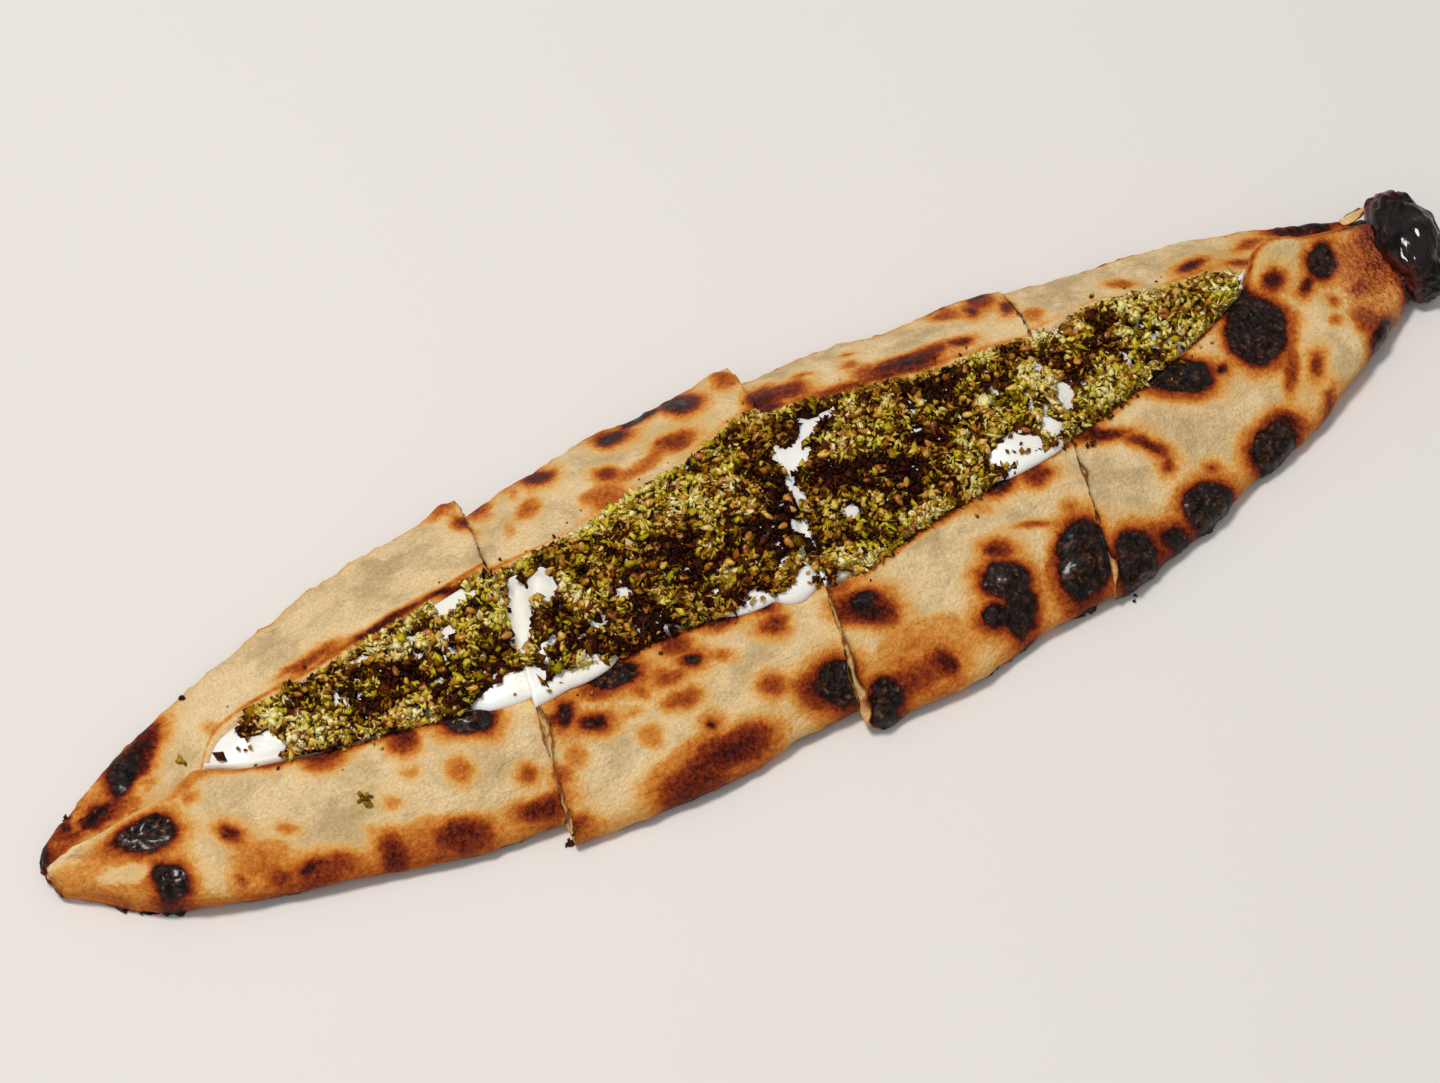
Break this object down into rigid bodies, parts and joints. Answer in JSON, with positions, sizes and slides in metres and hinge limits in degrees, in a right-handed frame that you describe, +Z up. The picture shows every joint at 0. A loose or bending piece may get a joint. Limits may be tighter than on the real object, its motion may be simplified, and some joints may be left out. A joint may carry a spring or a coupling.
{
  "type": "labneh manakish",
  "caption": "Boat-shaped flatbread with folded-over sides, filled with labneh and strewn with za'atar, cut across into slices that lie together.",
  "frame": {"origin": "centre of the bounding box, on the plane that the bread rests on", "axes": "+X along the boat from the plain tip to the charred tip, +Y across it to the far flap, +Z up"},
  "size_m": [0.3414, 0.0972, 0.0231],
  "materials": {
    "crust": "floury baked crust with toasted and burnt spots",
    "labneh": "moist smooth strained yoghurt",
    "zaatar": "oiled dry herbs and toasted sesame seeds"
  },
  "bodies": {
    "root": {"bread_1": "crust", "labneh_1": "labneh", "zaatar_1": "zaatar", "bread_2": "crust", "labneh_2": "labneh", "zaatar_2": "zaatar", "bread_3": "crust", "labneh_3": "labneh", "zaatar_3": "zaatar", "bread_4": "crust", "labneh_4": "labneh", "zaatar_4": "zaatar"}
  },
  "joints": []
}
